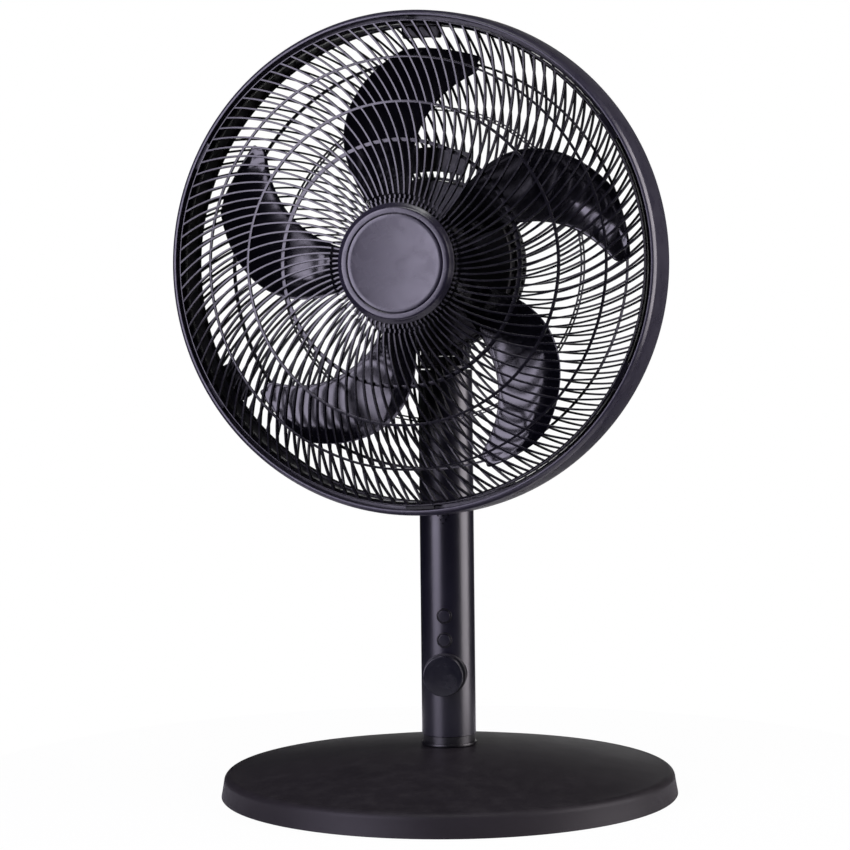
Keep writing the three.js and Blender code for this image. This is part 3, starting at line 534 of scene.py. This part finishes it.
wellShape = eased([
    (wellRing["bore"], wellRing["back"]), (wellRing["flange"], wellRing["back"]),
    (wellRing["flange"], wellRing["step"]), (wellRing["r"], wellRing["step"]),
    (wellRing["r"], wellRing["front"], 0.3), (wellRing["bore"], wellRing["front"], 0.2),
])
buttonShape = eased([(0, button["back"]), (button["r"], button["back"]),
                     (button["r"], button["rim"], 0.5), (0, button["front"])], closed=False)
for name, z in button["z"].items():
    makePiece(f"{name}Well", shifted(turned(wellShape, 72, forward=True), z=z), "stand",
              rearRibPlastic, [f"button_well_{name}"])
    makePiece(f"{name}Button", shifted(turned(buttonShape, 72, forward=True), z=z),
              f"{name}_button", poleCoat, [f"button_{name}"])

grip = eased([
    (0, 17.3), (knob["stem"], 17.3), (knob["stem"], knob["back"]), (knob["r"], knob["back"], 0.4),
    (knob["r"], knob["front"], 0.7), (0, knob["front"] - 0.15),
], closed=False)
makePiece("speedKnob", shifted(turned(grip, 128, forward=True), z=knob["z"]), "dial",
          controlPlastic, ["knob"])
bossShape = eased([(3.3, 10), (knob["boss"], 10), (knob["boss"], knob["bossFront"], 0.6),
                   (3.3, knob["bossFront"])])
coreR = pole["r"] + 0.3
poleCore = turned([(0, 60), (coreR, 60), (coreR, 165), (0, 165)], 160)
makePiece("knobBossRing", shifted(turned(bossShape, 128, forward=True), z=knob["z"]), "stand",
          innerPlastic, ["knob_boss"], carve=poleCore)
print("pole and controls made")

# Neck: a plate that turns on the pole, with two cheeks, a web between them and the tilt bolt.
yoke = dict(plateR=24.7, low=392.4, high=395.4, spigot=14, spigotLow=377, spigotHigh=394, bore=3.8,
            cheekR=11.4, cheekBack=-9, cheekLow=393, cheekIn=12.7, cheekOut=20.7, webHalf=9.5,
            webLow=394.8, webTop=403.2, webEnd=13.2)
yokePlate = eased([(0, yoke["low"]), (yoke["plateR"], yoke["low"], 0.4),
                   (yoke["plateR"], yoke["high"], 0.8), (0, yoke["high"])], closed=False)
spigot = [(yoke["bore"], yoke["spigotLow"]), (yoke["spigot"], yoke["spigotLow"]),
          (yoke["spigot"], yoke["spigotHigh"]), (yoke["bore"], yoke["spigotHigh"])]
yokeParts = [turned(yokePlate, 128), turned(spigot, 64)]
cheek = [(yoke["cheekBack"], yoke["cheekLow"]), (yoke["cheekR"], yoke["cheekLow"])]
cheek += circle(yoke["cheekR"], pivotZ, 48)[:25]
cheek += [(-yoke["cheekR"], pivotZ - 2), (yoke["cheekBack"], pivotZ - 8)]
for side in (-1, 1):
    low, high = sorted((side * yoke["cheekIn"], side * yoke["cheekOut"]))
    yokeParts.append(slab(cheek, low, high, ease=0.8))
web = box(yoke["webHalf"], yoke["webLow"], yoke["webTop"])
yokeParts.append(slab(web, -yoke["webEnd"], yoke["webEnd"], ease=0))
makePiece("neckYoke", joined(*yokeParts), "neck", innerPlastic, ["neck_hub"], place=neck)

screw = dict(headR=6.9, headIn=21.1, headOut=24.1, shankR=3.8, shankEnd=21.2)
shank = circle(screw["shankR"], pivotZ, 40)
screwParts = [slab(shank, -screw["shankEnd"], screw["shankEnd"], ease=0)]
for side in (-1, 1):
    low, high = sorted((side * screw["headIn"], side * screw["headOut"]))
    screwParts.append(slab(circle(screw["headR"], pivotZ, 60), low, high, ease=0.7))
makePiece("tiltScrew", joined(*screwParts), "neck", turnedSteel, ["tilt_bolt"], place=neck)
print("neck made")

# Outer band: it widens to the rear, with a groove in front that holds the front guard's tabs.
band = dict(rear=223.5, rearD=74.9, frontD=119.4, grooveR=215.7, grooveD=108.5, ledgeR=212.9,
            ledgeD=112, wallR=212.4)
bandShape = eased([
    (band["rear"], band["rearD"], 0.5), (222.0, 100.0, 8), (220.6, 116.0, 3),
    (217.9, band["frontD"], 2.6), (215.9, band["frontD"] - 0.1, 0.4),
    (band["grooveR"], band["grooveD"]), (band["ledgeR"], band["grooveD"]),
    (band["ledgeR"], band["ledgeD"], 0.2), (band["wallR"], band["ledgeD"], 0.2),
    (band["wallR"], band["rearD"], 0.4), (215.0, band["rearD"], 0.4), (215.0, 105.0),
    (218.2, 105.0), (220.9, band["rearD"], 0.4),
])
makePiece("outerBand", turned(bandShape, 256, forward=True), "head", bandPlastic,
          ["guard_band"], head)
print("band made")

# Guards: ribs that leave the middle straight and lean over towards the rim, on a crowned face.
rib = dict(rate=0.0046, start=38.0, face=1.3, back=1.85, front=4.6, rear=4.2, edge=0.12, bevel=0.25)
frontCrown, frontDrop, guardR = 155.2, 34.2, 211.3
rearFloor, rearRise, rearR, rearPower = 36.0, 38.6, 215.0, 3.14


def frontFace(r):
    return frontCrown - frontDrop * (np.asarray(r) / guardR) ** 2


def rearFace(r):
    return rearFloor + rearRise * (np.asarray(r) / rearR) ** rearPower


def ribField(count, phaseDeg, radii, faceAt, depth, dip=None):
    # dip lowers the front face of the ribs at each of the radii.
    r = np.asarray(radii, float)
    slope = rib["rate"] * (r - rib["start"])
    lean = rib["rate"] * (r - rib["start"] - rib["start"] * np.log(r / rib["start"]))
    angle = math.radians(phaseDeg) + lean
    half, back, edge, bevel = rib["face"] / 2, rib["back"] / 2, rib["edge"], rib["bevel"]
    section = np.array([
        (-half - edge, edge), (-half, 0), (half, 0), (half + edge, edge),
        (back, depth - bevel), (back - bevel, depth), (bevel - back, depth), (-back, depth - bevel),
    ])
    length = np.hypot(1, slope)[:, None]
    radial = r[:, None] - section[:, 0] * slope[:, None] / length
    along = section[:, 0] / length
    low = section[:, 1][None, :] * np.ones((len(r), 1))
    if dip is not None:
        low[:, :4] += np.asarray(dip)[:, None]
        low[:, :4] = np.minimum(low[:, :4], depth - bevel - 0.1)
    d = faceAt(r)[:, None] - low
    turns = angle[None, :] + 2 * np.pi * np.arange(count)[:, None] / count
    c, s = np.cos(turns)[..., None], np.sin(turns)[..., None]
    forward = np.broadcast_to(-d, (count, *d.shape))
    verts = np.stack([radial * c - along * s, forward, radial * s + along * c], -1)
    steps, size = len(r), len(section)
    faces = []
    for i in range(count):
        at = i * steps * size
        for j in range(steps - 1):
            a = at + j * size
            for k in range(size):
                m = (k + 1) % size
                faces.append((a + k, a + m, a + size + m, a + size + k))
        faces.append(tuple(range(at + size - 1, at - 1, -1)))
        faces.append(tuple(range(at + (steps - 1) * size, at + steps * size)))
    return verts.reshape(-1, 3), faces


def hoop(r, width, faceAt, sink, depth):
    # A ring whose front lies in the crown of the ribs, sunk a little.
    low, high = r - width / 2, r + width / 2
    inside, outside = float(faceAt(low)) - sink, float(faceAt(high)) - sink
    ease = 0.15
    section = eased([(low, inside - depth, ease), (high, outside - depth, ease),
                     (high, outside, ease), (low, inside, ease)], steps=3)
    return turned(section, 256, forward=True)


front = dict(outerCount=115, outerPhase=0.23, innerCount=82, innerPhase=2.57, middle=140.0, rim=211.2,
             outerRing=179.3, lowRing=106.9, tabs=6, tabFrom=92.5, tabHalf=3.5)
# The inner ribs dip behind a step near the cap.
innerDips = {52.4: 0.2, 56.1: 0.2, 56.6: 3.2, 59.7: 3.2}
innerRadii = [*innerDips, 60.3, 62.0, 66, 71, 76, 82, 88, 94, 100, 107, 114, 121, 128, 134,
              front["middle"]]
rimRing = eased([
    (209.0, 108.5, 0.3), (211.9, 108.0, 0.3), (211.9, 121.0, 0.35), (210.8, 121.2, 0.35),
    (210.8, 118.9), (208.9, 115.2, 0.3),
], steps=4)
centrePlate = eased([(46, 146.6), (53.4, 146.2, 0.6), (53.4, 149.4, 0.6), (46, 151.4)])
frontParts = [
    ribField(front["outerCount"], front["outerPhase"], np.linspace(front["middle"], front["rim"], 15),
             frontFace, rib["front"]),
    ribField(front["innerCount"], front["innerPhase"], innerRadii, frontFace, rib["front"] - 0.2,
             dip=[innerDips.get(r, 0) for r in innerRadii]),
    hoop(front["outerRing"], 1.9, frontFace, sink=0.05, depth=3.4),
    hoop(front["middle"], 2.2, frontFace, sink=0.02, depth=3.6),
    hoop(front["lowRing"], 3.2, frontFace, sink=4.2, depth=3.0),
    turned(rimRing, 256, forward=True),
    turned(centrePlate, 200, forward=True),
]
tabSection = eased([(210.6, 117.7), (215.2, 117.7, 0.3), (215.2, 119.5, 0.6), (210.6, 121.0, 0.4)],
                   steps=3)
for k in range(front["tabs"]):
    middle = front["tabFrom"] + 360 / front["tabs"] * k
    frontParts.append(arcBar(tabSection, middle, front["tabHalf"], steps=10, soften=0.7))
makePiece("frontSpiral", joined(*frontParts), "head", ribPlastic, ["front_guard"], head,
          sharp=28)

rear = dict(outerCount=106, outerPhase=2.95, innerCount=87, innerPhase=3.44, outerRing=183.0,
            midRings=(141.6, 138.8), lugs=3, lugHalf=5.0, archHalf=21)
rearRim = eased([(210.6, 69.6, 0.5), (215, 70.4, 0.5), (215, 74.6, 0.6), (211.2, 74.0, 0.6)])
innerRing = eased([(76.4, 33.0, 0.3), (79.0, 33.0, 0.4), (79.0, 37.6, 0.5), (76.4, 37.6, 0.3)])
rearParts = [
    ribField(rear["outerCount"], rear["outerPhase"], np.linspace(139, 213.5, 18), rearFace,
             rib["rear"]),
    ribField(rear["innerCount"], rear["innerPhase"], np.linspace(77.4, 140, 14), rearFace,
             rib["rear"] - 0.2),
    hoop(rear["outerRing"], 2.1, rearFace, sink=0.05, depth=3.4),
    *[hoop(r, 1.1, rearFace, sink=0.05, depth=3.4) for r in rear["midRings"]],
    turned(rearRim, 256, forward=True),
    turned(innerRing, 200, forward=True),
]
lugSection = eased([(201.5, 62.0, 0.6), (213.0, 63.6, 0.6), (213.0, 68.0, 0.8), (201.5, 66.4, 0.8)],
                   steps=3)
for k in range(rear["lugs"]):
    middle = 90 + 360 / rear["lugs"] * k
    rearParts.append(arcBar(lugSection, middle, rear["lugHalf"], steps=12, soften=1.6))
archSection = eased([(84, 37.0, 0.5), (106, 38.0, 0.5), (106, 40.9, 0.8), (84, 39.6, 0.8)], steps=3)
rearParts.append(arcBar(archSection, 90, rear["archHalf"], steps=24, soften=1.2))
makePiece("rearSpiral", joined(*rearParts), "head", rearRibPlastic, ["rear_guard"],
          head, sharp=28)
print("guards made")

# Centre cap: a rounded rim round a slightly dished disc.
cap = dict(front=158.0, back=153.8, bore=42.9, discR=42.6, discBack=154.4, edge=0.45, dish=1.8)
capShape = eased([
    (cap["bore"], cap["back"] + 1), (cap["bore"], cap["front"] - 0.5, 0.25),
    (43.5, cap["front"], 0.4), (48.0, cap["front"], 1.4), (49.9, 156.0, 1.2),
    (52.4, cap["back"], 0.3), (38.6, cap["back"]), (38.6, cap["back"] + 1),
], steps=5)
makePiece("capRim", turned(capShape, 200, forward=True), "head", capPlastic, ["cap_ring"],
          head, sharp=40)
dial = [(0, cap["discBack"]), (cap["discR"], cap["discBack"] + 0.8), (cap["discR"], 156.9),
        (cap["discR"] - 0.3, 157.4), (cap["discR"] - 0.9, 157.6)]
for k in range(1, 17):
    f = 1 - k / 16
    hollow = (cap["dish"] - cap["edge"]) * (1 - f * f)
    dial.append((cap["discR"] * 0.975 * f, cap["front"] - cap["edge"] - hollow))
makePiece("capDial", turned(dial, 200, forward=True), "head", capPlastic, ["cap_disc"],
          head, sharp=40)
print("cap made")

# Motor housing: a front shell with two rows of slots, a rear bowl with vents and the tilt lug.
motor = dict(r=76.0, nose=50.0, tail=-9.0, inner=73.4, lipR=60.8, slots=40, slotHalf=3.3,
             rows=[(-4, 23), (30, 44)], bowlR=60, bowlIn=57.4, bowlFront=16.2, bowlBack=-40.0)
shellShape = eased([
    (6, 36), (13, 36), (13, 47.4), (motor["inner"], 47.4), (motor["inner"], motor["tail"] + 2.6),
    (motor["lipR"], motor["tail"] + 2.6), (motor["lipR"], motor["tail"]),
    (motor["r"], motor["tail"], 0.5), (motor["r"], 25.4), (motor["r"] - 0.5, 25.8),
    (motor["r"] - 0.5, 27.2), (motor["r"], 27.6), (motor["r"], motor["nose"], 2.0),
    (6, motor["nose"]),
])
lugTop = -57.2
cuts = []
for d0, d1 in motor["rows"]:
    half = motor["slotHalf"]
    slot = eased([(-half, d0, 0.6), (half, d0, 0.6), (half, d1, 0.6), (-half, d1, 0.6)], steps=2)
    verts, faces = slab([(u, -w) for u, w in slot], 68, 82, "z", ease=0)
    for k in range(motor["slots"]):
        a = 2 * math.pi * (k + 0.5) / motor["slots"]
        turn = Matrix.Rotation(math.pi / 2 - a, 3, "Y")
        cuts.append(([tuple(turn @ Vector(p)) for p in verts], faces))
cuts.append(slab(box(26, -14.5, 12), -90, lugTop, "z", ease=0))   # room for the lug and the cheeks
makePiece("motorShell", turned(shellShape, 160, forward=True), "head", innerPlastic,
          ["motor_cover_front"], head, carve=joined(*cuts))

bowlShape = eased([
    (motor["bowlR"], motor["bowlFront"]), (motor["bowlR"], -24, 4), (55, -34, 3), (45, -38, 3),
    (30, -39.4, 4), (0, motor["bowlBack"]), (0, motor["bowlBack"] + 2.6), (44, -35.4), (53.4, -31),
    (motor["bowlIn"], -22), (motor["bowlIn"], motor["bowlFront"]),
], closed=False)
vents = []
for i in range(-2, 3):
    half, z = 26 - 2 * abs(i), i * 9
    slit = eased([(-half, z - 2, 2), (half, z - 2, 2), (half, z + 2, 2), (-half, z + 2, 2)], steps=4)
    vents.append(slab(slit, 32, 46, "y", ease=0))
makePiece("motorTail", turned(bowlShape, 160, forward=True), "head", innerPlastic,
          ["motor_cover_rear"], head, carve=joined(*vents))

lug = dict(r=11.4, half=12.4, bore=4.1, z=pivotZ - axisZ)
lugShape = [(lug["r"], lugTop)]
lugShape += [(u, 2 * lug["z"] - v) for u, v in circle(lug["r"], lug["z"], 64)[:33]]
lugShape.append((-lug["r"], lugTop))
pivotBore = slab(circle(lug["bore"], lug["z"], 40), -30, 30, ease=0)
makePiece("tiltLug", slab(lugShape, -lug["half"], lug["half"], ease=0.9), "head",
          innerPlastic, ["motor_cover_rear"], head, carve=pivotBore)
print("motor housing made")

# Blades: five swept and twisted blades on a round hub. trail and lead give the angle at the hub,
# the sweep to the tip and its power; trailD and leadD are the depths of the two edges.
blade = dict(count=5, tip=190.3, root=42.7, hub=44.0, thick=2.2, trailD=96.0, leadD=79.5,
             rootLift=14.0, camber=19.0, trail=(127.5, 36.3, 2.9), lead=(96.4, 30.6, 2.2),
             leadRound=8.0, trailRound=2.5, cornerR=172, cornerSweep=3.5)


def sweep(edge, t):
    atHub, total, power = edge
    return atHub - total * t ** power


def bladeShell(turn, along=44, chord=40):
    # g runs from root to tip and v from the leading to the trailing edge.
    g = np.sin(math.pi / 2 * np.arange(along + 1) / along)[:, None]
    v = (0.5 - 0.5 * np.cos(math.pi * np.arange(chord + 1) / chord))[None, :]
    side = np.abs(2 * v - 1)
    blunt = blade["leadRound"] * np.clip(1 - v / 0.2, 0, 1) ** 2
    blunt = blunt + blade["trailRound"] * np.clip(5 * v - 4, 0, 1) ** 2
    r = blade["root"] + (blade["tip"] - blade["root"]) * g - blunt * g ** 24
    t = np.clip((r - blade["hub"]) / (blade["tip"] - blade["hub"]), 0, 1)
    trail = sweep(blade["trail"], t)
    corner = np.clip((r - blade["cornerR"]) / 12, 0, 1) ** 2
    lead = sweep(blade["lead"], t) + blade["cornerSweep"] * corner
    angle = np.radians(turn + lead + (trail - lead) * v)
    lift = blade["rootLift"] * np.clip(1 - t / 0.4, 0, 1) ** 2
    mid = (blade["leadD"] - 0.6 * lift) * (1 - v) + (blade["trailD"] + lift) * v
    mid = mid - blade["camber"] * v * (1 - v) * np.sqrt(t + 0.05)
    half = blade["thick"] / 2 * (1 - 0.45 * side ** 3) * np.sqrt(np.clip(1 - side ** 20, 0, 1))
    half = half * np.sqrt(np.clip(1 - g ** 86, 0, 1))
    verts, index = [], np.zeros((2, along + 1, chord + 1), int)
    for back in (0, 1):
        for i in range(along + 1):
            for j in range(chord + 1):
                if back and (j in (0, chord) or i == along):   # the faces meet at the edges
                    index[1, i, j] = index[0, i, j]
                    continue
                index[back, i, j] = len(verts)
                d = mid[i, j] + half[i, j] * (1 - 2 * back)
                a = angle[i, j]
                verts.append((r[i, j] * math.cos(a), -d, r[i, j] * math.sin(a)))
    faces = []
    for back in (0, 1):
        for i in range(along):
            for j in range(chord):
                quad = [index[back, i, j], index[back, i + 1, j],
                        index[back, i + 1, j + 1], index[back, i, j + 1]]
                faces.append(tuple(dict.fromkeys(quad[::-1] if back else quad)))
    faces.append(tuple([*index[0, 0, :], *index[1, 0, 1:-1][::-1]]))
    return verts, faces


hub = dict(r=blade["hub"], wallR=41.4, back=66, front=118, web=112, boreR=4.3, bossR=9.3, bossBack=74)
hubShape = eased([
    (hub["boreR"], hub["bossBack"]), (hub["bossR"], hub["bossBack"]), (hub["bossR"], hub["web"]),
    (hub["wallR"], hub["web"]), (hub["wallR"], hub["back"], 0.3), (hub["r"], hub["back"], 0.5),
    (hub["r"], hub["front"], 4.5), (hub["boreR"], hub["front"]),
])
blades = [bladeShell(360 / blade["count"] * k) for k in range(blade["count"])]
makePiece("sweptBlades", joined(turned(hubShape, 160, forward=True), *blades), "fan",
          bladeGloss, ["impeller"], head, sharp=50)
nutShape = eased([(hub["boreR"], 118.3), (11, 118.3, 0.4), (10, 128, 1.2), (7, 130, 1.0),
                  (hub["boreR"], 130)])
makePiece("shaftCap", turned(nutShape, 96, forward=True), "fan", bladeGloss, ["spinner"],
          head)
print("blades made")

# What stays hidden inside keeps its CAD solid and gets a finish.
hiddenFinish = {
    "base_weight": castIron, "pole_nut": castIron, "stator_frame": castIron, "rotor": castIron,
    "control_board": greenBoard, "stator": copperWire,
    "board_carrier": innerPlastic, "switch_upper": innerPlastic, "switch_lower": innerPlastic,
    "swing_motor_seat": innerPlastic, "neck_bearing": innerPlastic,
    "knob_encoder": turnedSteel, "swing_motor": turnedSteel, "swing_shaft": turnedSteel,
    "motor_shaft": turnedSteel, "bearing_front": turnedSteel, "bearing_rear": turnedSteel,
}
for name, material in hiddenFinish.items():
    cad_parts[name].data.materials.clear()
    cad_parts[name].data.materials.append(material)

# Studio: a round sheet of white paper that the camera sees almost white.
paper = bpy.data.materials.new("whitePaper")
paper.use_nodes = True
tree = paper.node_tree
shader = tree.nodes["Principled BSDF"]
shader.inputs["Roughness"].default_value = 0.9
shader.inputs["Specular IOR Level"].default_value = 0.1
fibre = rangeNode(tree, noiseNode(tree, 900, 4), 0.3, 0.7, 0.86, 0.9)
tree.links.new(greyNode(tree, fibre), shader.inputs["Base Color"])
glow = tree.nodes.new("ShaderNodeEmission")
glow.inputs["Color"].default_value = (1, 1, 1, 1)
glow.inputs["Strength"].default_value = 1.0
path = tree.nodes.new("ShaderNodeLightPath")
blend = tree.nodes.new("ShaderNodeMixShader")
whiten = mathNode(tree, "MULTIPLY", path.outputs["Is Camera Ray"], 0.97)
tree.links.new(whiten, blend.inputs["Fac"])
tree.links.new(shader.outputs["BSDF"], blend.inputs[1])
tree.links.new(glow.outputs["Emission"], blend.inputs[2])
tree.links.new(blend.outputs["Shader"], tree.nodes["Material Output"].inputs["Surface"])

floorMesh = bpy.data.meshes.new("studioFloor")
floorVerts, floorFaces = turned([(0, 0), (150, 0), (300, 0), (500, 0)], 96)
floorMesh.from_pydata((np.asarray(floorVerts) * mm).tolist(), [], floorFaces)
floorMesh.materials.append(paper)
floor = bpy.data.objects.new("studioFloor", floorMesh)
scene.collection.objects.link(floor)


def softbox(name, spot, aim, width, tall, power, colour=(1, 1, 1)):
    # Places in metres, power in watts.
    lamp = bpy.data.lights.new(name, "AREA")
    lamp.shape = "RECTANGLE"
    lamp.size, lamp.size_y = width, tall
    lamp.energy = power
    lamp.color = colour
    holder = bpy.data.objects.new(name, lamp)
    holder.location = spot
    holder.rotation_euler = (Vector(aim) - Vector(spot)).to_track_quat("-Z", "Y").to_euler()
    scene.collection.objects.link(holder)


softbox("leftBox", (-1.429, -1.673, 0.95), (0, 0, 0.75), 1.42, 2.2, power=76,
        colour=(0.83, 0.77, 1.0))
softbox("rightBox", (2.2, -0.08, 0.85), (0, 0, 0.65), 1.55, 2.4, power=84,
        colour=(0.98, 0.91, 0.98))
softbox("topBox", (0.1, -0.9, 2.6), (0, 0, 0.4), 1.2, 0.8, power=21)

# The world is white to the camera and through clear things. Reflections see it white only
# straight behind the fan.
world = bpy.data.worlds.new("studioWorld")
scene.world = world
world.use_nodes = True
tree = world.node_tree
sky = tree.nodes["Background"]
sky.inputs["Strength"].default_value = 1.0
path = tree.nodes.new("ShaderNodeLightPath")
seen = mathNode(tree, "MAXIMUM", path.outputs["Is Camera Ray"], path.outputs["Is Transmission Ray"])
place = tree.nodes.new("ShaderNodeTexCoord")
split = tree.nodes.new("ShaderNodeSeparateXYZ")
tree.links.new(place.outputs["Generated"], split.inputs["Vector"])
backdrop = rangeNode(tree, split.outputs["Y"], 0.96, 0.99)
mirrored = mathNode(tree, "MULTIPLY", path.outputs["Is Glossy Ray"], backdrop)
white = mathNode(tree, "MAXIMUM", seen, mirrored)
level = rangeNode(tree, white, 0.0, 1.0, 0.02, 1.0)
tree.links.new(greyNode(tree, level), sky.inputs["Color"])
print("studio set")
